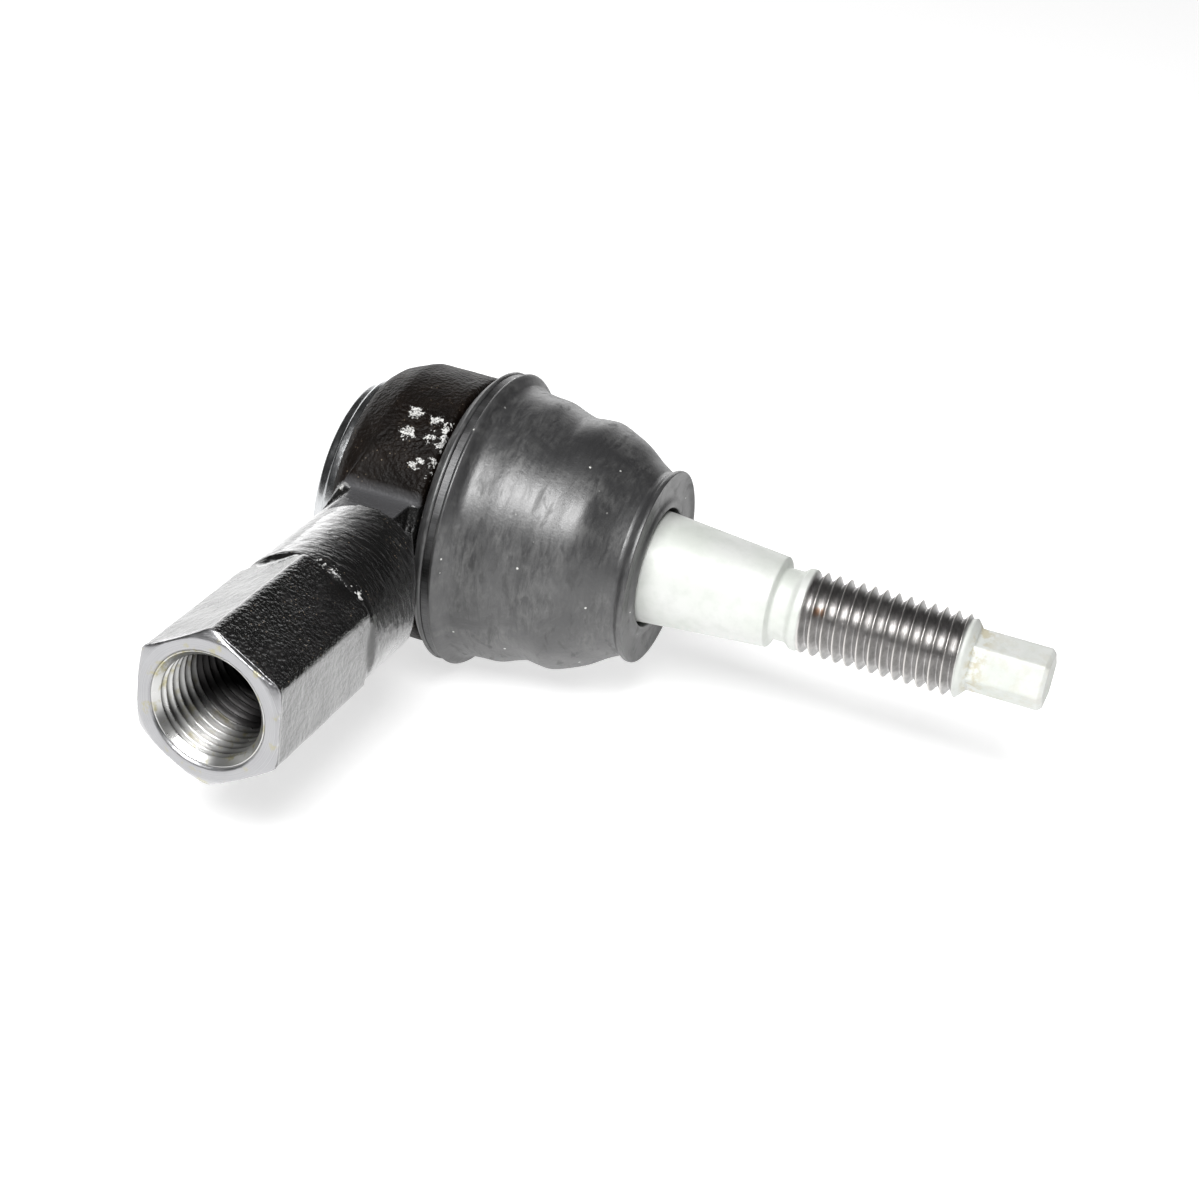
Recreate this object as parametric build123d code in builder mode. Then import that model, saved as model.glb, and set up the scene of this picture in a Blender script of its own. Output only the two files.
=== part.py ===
"""Outer tie rod end: a forged head with a ball stud, a dust boot and a threaded female shank.

Frame: the origin is the ball centre, where the stud axis and the shank axis cross. +X runs along the stud
to its threaded tip, the shank's threaded socket opens towards -Y, and +Z is up, square to both.
All sizes are in millimetres. Turned pieces are drawn as (x, radius) outlines and revolved about X.
"""

import os
from math import radians, sqrt, tan

from build123d import *

os.makedirs("parts", exist_ok=True)

# --- ball and bearings ---------------------------------------------------------------------------
BALL_RADIUS = 12.0
BALL_FLAT_X = -10.8
BEARING_PLAY = 0.08
SEAT_RADIUS = BALL_RADIUS + BEARING_PLAY
BEARING_OUTER = 14.95
BEARING_SPLIT = 0.25
FRONT_SEAT_END = 6.3
REAR_SEAT_END = -5.8

# --- stud ----------------------------------------------------------------------------------------
NECK_RADIUS = 5.8
NECK_END = 17.0
COLLAR_START = 26.0
COLLAR_END = 32.0
TAPER_END = 52.3
TAPER_END_RADIUS = 6.65
TAPER_RATIO = 5.5
RELIEF_RADIUS = 5.25
THREAD_START = 55.6
THREAD_END = 80.0
THREAD_RADIUS = 6.0
TIP_START = 81.3
TIP_END = 92.0
TIP_ACROSS_FLATS = 8.0
TIP_CORNER_RADIUS = 4.5
TIP_TURN = 12.0

# --- forged head ---------------------------------------------------------------------------------
HEAD_RADIUS = 20.2
HEAD_RIDGE_X = -6.1
HEAD_REAR_X = -10.8
ROLLED_EDGE_RADIUS = 17.7
HEAD_FRONT_X = 10.5
CAVITY_RADIUS = 15.0
COUNTERBORE_RADIUS = 17.5
LEDGE_X = -8.2
ROLLED_LIP_RADIUS = 16.85
CONE_X = 5.0
THROAT_X = 8.3
THROAT_RADIUS = 11.6
MOUTH_RADIUS = 13.4
BOOT_SEAT_RADIUS = 18.6
BOOT_GROOVE_RADIUS = 18.0

# --- shank ---------------------------------------------------------------------------------------
SHANK_RADIUS = 10.8
NECK_HALF_HEIGHT = 8.5
NECK_FRONT_X = 2.4
NECK_FLAT_REACH = 28.6
BOOT_RELIEF_REACH = 27.4
BOOT_RELIEF_END = 32.6
FLARE_X = -8.6
FLARE_HALF_HEIGHT = 14.5
HEX_START = 45.4
HEX_END = 70.0
HEX_ACROSS_FLATS = 20.0
HEX_CORNER_RADIUS = 11.3
HEX_CHAMFER = 0.8
SOCKET_RADIUS = 8.0
SOCKET_DEPTH = 33.0
SOCKET_CHAMFER = 0.4
DRILL_ANGLE = 118.0

# --- cover, seal and preload ---------------------------------------------------------------------
COVER_FLANGE = 17.4
COVER_SHEET = 1.5
COVER_STEP_RADIUS = 16.7
COVER_STEP_X = -12.3
COVER_FACE_RADIUS = 15.9
COVER_FACE_X = -14.0
COVER_HOLLOW_RADIUS = 14.4
COVER_HOLLOW_X = -12.9
SEAL_CORD_RADIUS = 0.48
SEAL_RADIUS = 16.1
RING_BORE = 10.9
RING_THICKNESS = 0.8
SPRING_SHEET = 0.6

# --- dust boot -----------------------------------------------------------------------------------
BOOT_START = 4.3
BOOT_END = 34.1
BOOT_GAP = 0.3
RIDGE_RADIUS = 22.1
STUD_LIP_RADIUS = 8.8
CLIP_GROOVE = (6.35, 7.55)
CLIP_GROOVE_RADIUS = 20.7
CLIP_THICKNESS = 0.8
CLIP_PLAY = 0.1
LIP_RING_BORE = 10.4
LIP_RING_OUTER = 12.2
LIP_RING_X = (30.2, 32.1)
LIP_RING_PLAY = 0.2


def sphere_radius(radius, x):
    """Radius of a sphere's section at x."""
    return sqrt(radius**2 - x**2)


def taper_radius(x):
    """Radius of the stud's seating taper at x."""
    return TAPER_END_RADIUS + (TAPER_END - x) / (2 * TAPER_RATIO)


# Housing: one forging with the head, the neck, the shank, the hexagon and the machined cavities.
with BuildPart() as housing:
    # flare that carries the shank's back into the head
    with BuildSketch(Plane.XZ):
        with BuildLine():
            Polyline(
                (HEAD_REAR_X, -NECK_HALF_HEIGHT / 2),
                (HEAD_REAR_X, NECK_HALF_HEIGHT / 2),
                (FLARE_X, NECK_HALF_HEIGHT),
                (HEAD_RIDGE_X, FLARE_HALF_HEIGHT),
                (0, FLARE_HALF_HEIGHT),
                (0, -FLARE_HALF_HEIGHT),
                (HEAD_RIDGE_X, -FLARE_HALF_HEIGHT),
                (FLARE_X, -NECK_HALF_HEIGHT),
                close=True,
            )
        make_face()
    extrude(amount=HEAD_RADIUS)
    with BuildSketch(Plane.YZ.offset(HEAD_REAR_X)):
        Circle(HEAD_RADIUS)
    extrude(amount=-HEAD_REAR_X, mode=Mode.INTERSECT)
    # round shank, from the stud axis to the back of the hexagon
    with BuildSketch(Plane.XZ):
        Circle(SHANK_RADIUS)
    extrude(amount=HEX_START)
    # flats above and below the neck
    with BuildSketch(Plane.YZ.offset(-SHANK_RADIUS)):
        Circle(NECK_FLAT_REACH)
        Circle(HEAD_RADIUS, mode=Mode.SUBTRACT)
        Rectangle(3 * NECK_FLAT_REACH, 2 * NECK_HALF_HEIGHT, mode=Mode.SUBTRACT)
    extrude(amount=2 * SHANK_RADIUS, mode=Mode.SUBTRACT)
    # room for the boot in front of the neck, turned about the stud axis
    with BuildSketch():
        with BuildLine():
            Polyline(
                (NECK_FRONT_X, 0),
                (NECK_FRONT_X, BOOT_RELIEF_REACH + 1),
                (NECK_FRONT_X + 1.5, BOOT_RELIEF_REACH),
                (NECK_FRONT_X + 4, BOOT_RELIEF_REACH),
                (SHANK_RADIUS + 0.5, BOOT_RELIEF_END + 0.6),
                (SHANK_RADIUS + 0.5, 0),
                close=True,
            )
        make_face()
    revolve(axis=Axis.X, mode=Mode.SUBTRACT)
    # the shank's end is turned down to the hexagon's flats
    with BuildSketch(Plane.YX):
        with BuildLine():
            Polyline(
                (-HEX_START + 1.2, SHANK_RADIUS + 1),
                (-HEX_START + 1.2, SHANK_RADIUS),
                (-HEX_START, HEX_ACROSS_FLATS / 2),
                (-HEX_START, SHANK_RADIUS + 1),
                close=True,
            )
        make_face()
    revolve(axis=Axis.Y, mode=Mode.SUBTRACT)
    # hexagon with a corner up and down, its end turned to a chamfer
    with BuildSketch(Plane.XZ.offset(HEX_START - 0.5)):
        RegularPolygon(HEX_ACROSS_FLATS / 2, 6, major_radius=False, rotation=30)
    extrude(amount=HEX_END - HEX_START + 0.5)
    with BuildSketch(Plane.YX):
        with BuildLine():
            Polyline(
                (-HEX_END, HEX_ACROSS_FLATS / 2),
                (-HEX_END + HEX_CHAMFER, HEX_CORNER_RADIUS),
                (-HEX_START + 2 * HEX_CHAMFER, HEX_CORNER_RADIUS),
                (-HEX_START + 2 * HEX_CHAMFER, HEX_CORNER_RADIUS + 1),
                (-HEX_END, HEX_CORNER_RADIUS + 1),
                close=True,
            )
        make_face()
    revolve(axis=Axis.Y, mode=Mode.SUBTRACT)
    # turned head with the boot's seat in front
    with BuildSketch():
        with BuildLine():
            Polyline(
                (HEAD_REAR_X, 0),
                (HEAD_REAR_X, ROLLED_EDGE_RADIUS),
                (-9.6, 18.7),
                (HEAD_RIDGE_X - 0.5, 19.95),
                (HEAD_RIDGE_X + 0.3, HEAD_RADIUS),
                (3.4, HEAD_RADIUS),
                (3.9, HEAD_RADIUS - 0.5),
                (3.9, BOOT_SEAT_RADIUS),
                (5.4, BOOT_SEAT_RADIUS),
                (5.8, BOOT_GROOVE_RADIUS),
                (7.8, BOOT_GROOVE_RADIUS),
                (8.2, BOOT_SEAT_RADIUS),
                (HEAD_FRONT_X - 0.8, BOOT_SEAT_RADIUS),
                (HEAD_FRONT_X, BOOT_SEAT_RADIUS - 0.8),
                (HEAD_FRONT_X, 0),
                close=True,
            )
        make_face()
    revolve(axis=Axis.X)
    # cover counterbore, seal groove, bearing cavity, throat and flared mouth
    with BuildSketch():
        with BuildLine():
            Polyline(
                (HEAD_REAR_X, 0),
                (HEAD_REAR_X, ROLLED_LIP_RADIUS),
                (LEDGE_X - COVER_SHEET - 0.1, ROLLED_LIP_RADIUS),
                (LEDGE_X - COVER_SHEET, COUNTERBORE_RADIUS),
                (LEDGE_X, COUNTERBORE_RADIUS),
                (LEDGE_X, SEAL_RADIUS + 0.5),
                (LEDGE_X + 1, SEAL_RADIUS + 0.5),
                (LEDGE_X + 1, SEAL_RADIUS - 0.5),
                (LEDGE_X, SEAL_RADIUS - 0.5),
                (LEDGE_X, CAVITY_RADIUS),
                (CONE_X, CAVITY_RADIUS),
                (THROAT_X, THROAT_RADIUS),
                (HEAD_FRONT_X, MOUTH_RADIUS),
                (HEAD_FRONT_X, 0),
                close=True,
            )
        make_face()
    revolve(axis=Axis.X, mode=Mode.SUBTRACT)
    # blind threaded socket, drawn at its major diameter, with a countersunk mouth and a drilled end
    with BuildSketch(Plane.YX):
        with BuildLine():
            Polyline(
                (-HEX_END, 0),
                (-HEX_END, SOCKET_RADIUS + SOCKET_CHAMFER),
                (-HEX_END + SOCKET_CHAMFER, SOCKET_RADIUS),
                (-HEX_END + SOCKET_DEPTH, SOCKET_RADIUS),
                (-HEX_END + SOCKET_DEPTH + SOCKET_RADIUS / tan(radians(DRILL_ANGLE / 2)), 0),
                close=True,
            )
        make_face()
    revolve(axis=Axis.Y, mode=Mode.SUBTRACT)
housing.part.label = "housing"
export_step(housing.part, "parts/housing.step")

# Ball stud: one forging with the ball, the neck, the collar, the taper, the thread and the drive tip.
with BuildPart() as ball_stud:
    with BuildSketch():
        with BuildLine():
            Line((BALL_FLAT_X, 0), (BALL_FLAT_X, sphere_radius(BALL_RADIUS, BALL_FLAT_X)))
            ThreePointArc(
                (BALL_FLAT_X, sphere_radius(BALL_RADIUS, BALL_FLAT_X)),
                (0, BALL_RADIUS),
                (sphere_radius(BALL_RADIUS, NECK_RADIUS), NECK_RADIUS),
            )
            Polyline(
                (sphere_radius(BALL_RADIUS, NECK_RADIUS), NECK_RADIUS),
                (NECK_END, NECK_RADIUS),
                (COLLAR_START, taper_radius(COLLAR_END)),
                (COLLAR_END, taper_radius(COLLAR_END)),
                (TAPER_END, TAPER_END_RADIUS),
                (TAPER_END + 0.3, TAPER_END_RADIUS - 0.3),
                (TAPER_END + 0.5, RELIEF_RADIUS),
                (THREAD_START - 0.6, RELIEF_RADIUS),
                (THREAD_START + 0.2, THREAD_RADIUS),
                (THREAD_END, THREAD_RADIUS),
                (TIP_START, TIP_CORNER_RADIUS),
                (TIP_START, 0),
                (BALL_FLAT_X, 0),
            )
        make_face()
    revolve(axis=Axis.X)
    with BuildSketch(Plane.YZ.offset(TIP_START - 0.5)):
        RegularPolygon(TIP_ACROSS_FLATS / 2, 6, major_radius=False, rotation=TIP_TURN)
        Circle(TIP_CORNER_RADIUS, mode=Mode.INTERSECT)
    extrude(amount=TIP_END - TIP_START + 0.5)
    chamfer(ball_stud.faces().sort_by(Axis.X)[-1].edges(), 0.5)
ball_stud.part.label = "ball_stud"
export_step(ball_stud.part, "parts/ball_stud.step")

# Bearing halves: split cups between the ball and the head, the front one against the cavity's cone.
with BuildPart() as front_bearing:
    with BuildSketch():
        with BuildLine():
            Polyline(
                (BEARING_SPLIT, sphere_radius(SEAT_RADIUS, BEARING_SPLIT)),
                (BEARING_SPLIT, BEARING_OUTER),
                (CONE_X - 0.1, BEARING_OUTER),
                (7.6, 12.25),
                (FRONT_SEAT_END, sphere_radius(SEAT_RADIUS, FRONT_SEAT_END)),
            )
            RadiusArc(
                (FRONT_SEAT_END, sphere_radius(SEAT_RADIUS, FRONT_SEAT_END)),
                (BEARING_SPLIT, sphere_radius(SEAT_RADIUS, BEARING_SPLIT)),
                -SEAT_RADIUS,
            )
        make_face()
    revolve(axis=Axis.X)
front_bearing.part.label = "front_bearing"
export_step(front_bearing.part, "parts/front_bearing.step")

with BuildPart() as rear_bearing:
    with BuildSketch():
        with BuildLine():
            Polyline(
                (-BEARING_SPLIT, sphere_radius(SEAT_RADIUS, BEARING_SPLIT)),
                (-BEARING_SPLIT, BEARING_OUTER),
                (REAR_SEAT_END, BEARING_OUTER),
                (REAR_SEAT_END, sphere_radius(SEAT_RADIUS, REAR_SEAT_END)),
            )
            RadiusArc(
                (REAR_SEAT_END, sphere_radius(SEAT_RADIUS, REAR_SEAT_END)),
                (-BEARING_SPLIT, sphere_radius(SEAT_RADIUS, BEARING_SPLIT)),
                SEAT_RADIUS,
            )
        make_face()
    revolve(axis=Axis.X)
rear_bearing.part.label = "rear_bearing"
export_step(rear_bearing.part, "parts/rear_bearing.step")

# Pressure ring: a flat steel washer between the rear bearing and the spring.
with BuildPart() as pressure_ring:
    with BuildSketch(Plane.YZ.offset(REAR_SEAT_END - RING_THICKNESS)):
        Circle(BEARING_OUTER - 0.1)
        Circle(RING_BORE, mode=Mode.SUBTRACT)
    extrude(amount=RING_THICKNESS)
pressure_ring.part.label = "pressure_ring"
export_step(pressure_ring.part, "parts/pressure_ring.step")

# Preload spring: a conical disc spring, its bore on the ring and its rim on the cover's flange.
with BuildPart() as preload_spring:
    with BuildSketch():
        with BuildLine():
            Polyline(
                (REAR_SEAT_END - RING_THICKNESS, RING_BORE + 0.3),
                (LEDGE_X + SPRING_SHEET, BEARING_OUTER - 0.1),
                (LEDGE_X, BEARING_OUTER - 0.1),
                (REAR_SEAT_END - RING_THICKNESS - SPRING_SHEET, RING_BORE + 0.3),
                close=True,
            )
        make_face()
    revolve(axis=Axis.X)
preload_spring.part.label = "preload_spring"
export_step(preload_spring.part, "parts/preload_spring.step")

# Cover plate: a stamped cap, its flange held on the ledge by the head's rolled edge.
with BuildPart() as cover_plate:
    with BuildSketch():
        with BuildLine():
            Polyline(
                (LEDGE_X, COVER_HOLLOW_RADIUS),
                (LEDGE_X, COVER_FLANGE),
                (LEDGE_X - COVER_SHEET, COVER_FLANGE),
                (LEDGE_X - COVER_SHEET, COVER_STEP_RADIUS),
                (COVER_STEP_X + 0.4, COVER_STEP_RADIUS),
                (COVER_STEP_X, COVER_STEP_RADIUS - 0.4),
                (COVER_STEP_X, COVER_FACE_RADIUS),
                (COVER_FACE_X + 0.4, COVER_FACE_RADIUS),
                (COVER_FACE_X, COVER_FACE_RADIUS - 0.4),
                (COVER_FACE_X, 0),
                (COVER_HOLLOW_X, 0),
                (COVER_HOLLOW_X, COVER_HOLLOW_RADIUS - 1.2),
                (COVER_HOLLOW_X + 1.2, COVER_HOLLOW_RADIUS),
                close=True,
            )
        make_face()
    revolve(axis=Axis.X)
cover_plate.part.label = "cover_plate"
export_step(cover_plate.part, "parts/cover_plate.step")

# Cover seal: a rubber ring in the ledge's groove, under the cover's flange.
with BuildPart() as cover_seal:
    with BuildSketch():
        with Locations((LEDGE_X + 0.5, SEAL_RADIUS)):
            Circle(SEAL_CORD_RADIUS)
    revolve(axis=Axis.X)
cover_seal.part.label = "cover_seal"
export_step(cover_seal.part, "parts/cover_seal.step")

# Dust boot: a rubber bellows with a grooved large lip on the head and a flared small lip on the stud.
with BuildPart() as boot:
    with BuildSketch():
        with BuildLine():
            Polyline(
                (BOOT_START, BOOT_SEAT_RADIUS + BOOT_GAP),
                (BOOT_START, 20.0),
                (4.9, 20.9),
                (5.7, RIDGE_RADIUS - 0.3),
                (6.1, RIDGE_RADIUS - 0.15),
                (CLIP_GROOVE[0], RIDGE_RADIUS - 0.4),
                (CLIP_GROOVE[0], CLIP_GROOVE_RADIUS),
                (CLIP_GROOVE[1], CLIP_GROOVE_RADIUS),
                (CLIP_GROOVE[1], RIDGE_RADIUS - 0.2),
                (7.9, RIDGE_RADIUS),
                (8.4, RIDGE_RADIUS - 0.2),
                (9.0, 20.9),
            )
            Spline(
                (9.0, 20.9),
                (10.6, 20.1),
                (14.7, 19.75),
                (18.8, 18.4),
                (22.6, 18.6),
                (27.2, 16.75),
                (30.0, 14.95),
                (32.2, 13.8),
            )
            Polyline(
                (32.2, 13.8),
                (33.4, 14.35),
                (BOOT_END - 0.3, 14.35),
                (BOOT_END, 14.0),
                (BOOT_END - 0.5, 13.2),
                (BOOT_END - 0.5, 10.4),
                (BOOT_END, 9.6),
                (BOOT_END, STUD_LIP_RADIUS + 0.4),
                (BOOT_END - 0.5, STUD_LIP_RADIUS),
                (BOOT_END - 2.0, STUD_LIP_RADIUS),
                (BOOT_END - 2.6, STUD_LIP_RADIUS + 0.6),
                (BOOT_END - 3.2, STUD_LIP_RADIUS),
                (BOOT_END - 4.4, STUD_LIP_RADIUS),
                (LIP_RING_X[0] - LIP_RING_PLAY, STUD_LIP_RADIUS + 0.6),
                (LIP_RING_X[0] - LIP_RING_PLAY, LIP_RING_BORE - LIP_RING_PLAY),
                (LIP_RING_X[1] + LIP_RING_PLAY, LIP_RING_BORE - LIP_RING_PLAY),
                (LIP_RING_X[1] + LIP_RING_PLAY, LIP_RING_OUTER + LIP_RING_PLAY),
                (LIP_RING_X[0] - LIP_RING_PLAY, LIP_RING_OUTER + LIP_RING_PLAY),
            )
            Spline(
                (LIP_RING_X[0] - LIP_RING_PLAY, LIP_RING_OUTER + LIP_RING_PLAY),
                (27.0, 14.4),
                (22.4, 16.4),
                (18.8, 16.3),
                (14.7, 17.5),
                (HEAD_FRONT_X + BOOT_GAP, BOOT_SEAT_RADIUS + BOOT_GAP),
            )
            Polyline(
                (HEAD_FRONT_X + BOOT_GAP, BOOT_SEAT_RADIUS + BOOT_GAP),
                (8.0, BOOT_SEAT_RADIUS + BOOT_GAP),
                (7.6, BOOT_GROOVE_RADIUS + BOOT_GAP),
                (6.0, BOOT_GROOVE_RADIUS + BOOT_GAP),
                (5.6, BOOT_SEAT_RADIUS + BOOT_GAP),
                (BOOT_START, BOOT_SEAT_RADIUS + BOOT_GAP),
            )
        make_face()
    revolve(axis=Axis.X)
boot.part.label = "boot"
export_step(boot.part, "parts/boot.step")

# Boot clip: a flat wire ring that holds the large lip in the head's groove.
with BuildPart() as boot_clip:
    with BuildSketch(Plane.YZ.offset(CLIP_GROOVE[0] + CLIP_PLAY)):
        Circle(CLIP_GROOVE_RADIUS + CLIP_PLAY + CLIP_THICKNESS)
        Circle(CLIP_GROOVE_RADIUS + CLIP_PLAY, mode=Mode.SUBTRACT)
    extrude(amount=CLIP_GROOVE[1] - CLIP_GROOVE[0] - 2 * CLIP_PLAY)
boot_clip.part.label = "boot_clip"
export_step(boot_clip.part, "parts/boot_clip.step")

# Boot lip ring: the steel ring inside the small lip, which keeps it round on the taper.
with BuildPart() as boot_lip_ring:
    with BuildSketch(Plane.YZ.offset(LIP_RING_X[0])):
        Circle(LIP_RING_OUTER)
        Circle(LIP_RING_BORE, mode=Mode.SUBTRACT)
    extrude(amount=LIP_RING_X[1] - LIP_RING_X[0])
boot_lip_ring.part.label = "boot_lip_ring"
export_step(boot_lip_ring.part, "parts/boot_lip_ring.step")
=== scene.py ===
"""The looks of the tie rod end in the CAD frame (metres): materials, forged skin, threads and a two-piece
boot.

The stud axis is X, the shank runs along -Y and the ball centre is the origin.
"""

from math import acos, cos, pi, radians, sin

import bpy
import numpy as np
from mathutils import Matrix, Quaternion, Vector, noise


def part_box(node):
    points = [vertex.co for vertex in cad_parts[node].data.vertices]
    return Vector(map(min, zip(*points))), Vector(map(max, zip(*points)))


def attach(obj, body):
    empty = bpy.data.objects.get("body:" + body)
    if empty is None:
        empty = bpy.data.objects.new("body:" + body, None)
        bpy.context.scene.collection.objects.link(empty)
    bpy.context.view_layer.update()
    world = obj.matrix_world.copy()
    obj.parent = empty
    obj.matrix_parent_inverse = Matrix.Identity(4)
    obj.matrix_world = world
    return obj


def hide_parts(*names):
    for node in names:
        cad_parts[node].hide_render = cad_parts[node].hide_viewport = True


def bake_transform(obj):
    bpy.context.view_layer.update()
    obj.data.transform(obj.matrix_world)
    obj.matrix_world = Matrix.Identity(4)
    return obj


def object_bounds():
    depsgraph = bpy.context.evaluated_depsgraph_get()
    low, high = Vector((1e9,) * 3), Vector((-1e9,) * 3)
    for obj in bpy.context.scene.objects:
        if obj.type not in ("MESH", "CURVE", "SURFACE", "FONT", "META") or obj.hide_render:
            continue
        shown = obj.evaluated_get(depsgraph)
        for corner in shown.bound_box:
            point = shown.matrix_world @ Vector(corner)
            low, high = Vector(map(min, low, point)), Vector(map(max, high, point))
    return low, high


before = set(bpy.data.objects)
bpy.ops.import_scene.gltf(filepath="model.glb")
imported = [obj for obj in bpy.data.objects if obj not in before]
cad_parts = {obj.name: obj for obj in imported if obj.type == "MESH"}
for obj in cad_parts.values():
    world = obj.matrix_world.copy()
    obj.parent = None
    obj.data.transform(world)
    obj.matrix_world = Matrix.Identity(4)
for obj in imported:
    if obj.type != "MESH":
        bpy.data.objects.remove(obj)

MM = 0.001
cad_low, cad_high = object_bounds()
HEX_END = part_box("housing")[0][1] / MM


# --- small helpers -------------------------------------------------------------------------------
def smoothstep(low, high, x):
    """0 before low, 1 after high, and a smooth rise between them."""
    t = np.clip((x - low) / (high - low), 0.0, 1.0)
    return t * t * (3 - 2 * t)


def rounded(corners, steps=5):
    """Outline through (x, radius, rounding) corners, each corner replaced with an arc-like curve."""
    outline = []
    count = len(corners)
    for i, (x, r, size) in enumerate(corners):
        here = Vector((x, r))
        before = Vector(corners[i - 1][:2]) - here if i else None
        after = Vector(corners[i + 1][:2]) - here if i < count - 1 else None
        if not size or before is None or after is None:
            outline.append((x, r))
            continue
        reach = min(size, before.length * 0.48, after.length * 0.48)
        first = here + before.normalized() * reach
        last = here + after.normalized() * reach
        for k in range(steps + 1):
            t = k / steps
            p = first * (1 - t) ** 2 + here * (2 * t * (1 - t)) + last * t**2
            outline.append((p.x, p.y))
    return outline


def resampled(outline, longest):
    """The same outline with no run longer than the given length."""
    points = [outline[0]]
    for (x0, r0), (x1, r1) in zip(outline, outline[1:]):
        runs = max(1, int(np.ceil(np.hypot(x1 - x0, r1 - r0) / longest)))
        points += [(x0 + (x1 - x0) * k / runs, r0 + (r1 - r0) * k / runs) for k in range(1, runs + 1)]
    return points


def smooth_curve(points, step=0.25):
    """Catmull-Rom curve through (x, radius) points, for soft outlines."""
    padded = [points[0]] + list(points) + [points[-1]]
    curve = []
    for a, b, c, d in zip(padded, padded[1:], padded[2:], padded[3:]):
        a, b, c, d = (np.array(p, float) for p in (a, b, c, d))
        runs = max(2, int(np.linalg.norm(c - b) / step))
        for k in range(runs):
            t = k / runs
            p = 0.5 * (2 * b + (c - a) * t + (2 * a - 5 * b + 4 * c - d) * t**2
                       + (3 * b - a - 3 * c + d) * t**3)
            curve.append(tuple(p))
    curve.append(tuple(points[-1]))
    return curve


def turned(name, outline, shape=None, segments=128, axis="X", closed=False):
    """Mesh turned about X (or Y) from (place, radius) points in mm.

    shape(x, angle, radius) may vary the radius round the axis. An open outline starts and ends on the axis;
    a closed one is a ring's section.
    """
    angles = np.arange(segments) * 2 * pi / segments
    rows, vertices, faces = [], [], []
    for x, r in outline:
        if r < 1e-6:
            rows.append([len(vertices)])
            vertices.append((x, 0.0, 0.0))
            continue
        radii = np.full(segments, r) if shape is None else shape(x, angles, r)
        rows.append(list(range(len(vertices), len(vertices) + segments)))
        vertices += [(x, radius * cos(a), radius * sin(a)) for a, radius in zip(angles, radii)]
    pairs = list(zip(rows, rows[1:])) + ([(rows[-1], rows[0])] if closed else [])
    for near, far in pairs:
        for j in range(segments):
            k = (j + 1) % segments
            if len(near) == 1 and len(far) > 1:
                faces.append((near[0], far[k], far[j]))
            elif len(far) == 1 and len(near) > 1:
                faces.append((near[j], near[k], far[0]))
            elif len(near) > 1:
                faces.append((near[j], near[k], far[k], far[j]))
    points = np.array(vertices) * MM
    if axis == "Y":
        points = points[:, [1, 0, 2]]
        faces = [tuple(reversed(f)) for f in faces]
    return mesh_object(name, points, faces)


def mesh_object(name, points, faces):
    """Blender object with smooth faces from points in metres, its normals made to face outwards."""
    mesh = bpy.data.meshes.new(name)
    mesh.from_pydata([tuple(p) for p in points], [], faces)
    mesh.validate()
    mesh.shade_smooth()
    obj = bpy.data.objects.new(name, mesh)
    bpy.context.scene.collection.objects.link(obj)
    bpy.context.view_layer.objects.active = obj
    for other in bpy.context.selected_objects:
        other.select_set(False)
    obj.select_set(True)
    bpy.ops.object.mode_set(mode="EDIT")
    bpy.ops.mesh.select_all(action="SELECT")
    bpy.ops.mesh.normals_make_consistent(inside=False)
    bpy.ops.object.mode_set(mode="OBJECT")
    obj.select_set(False)
    return obj


def give(obj, material):
    """Make a material the object's only one, and return the object."""
    obj.data.materials.clear()
    obj.data.materials.append(material)
    return obj


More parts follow.
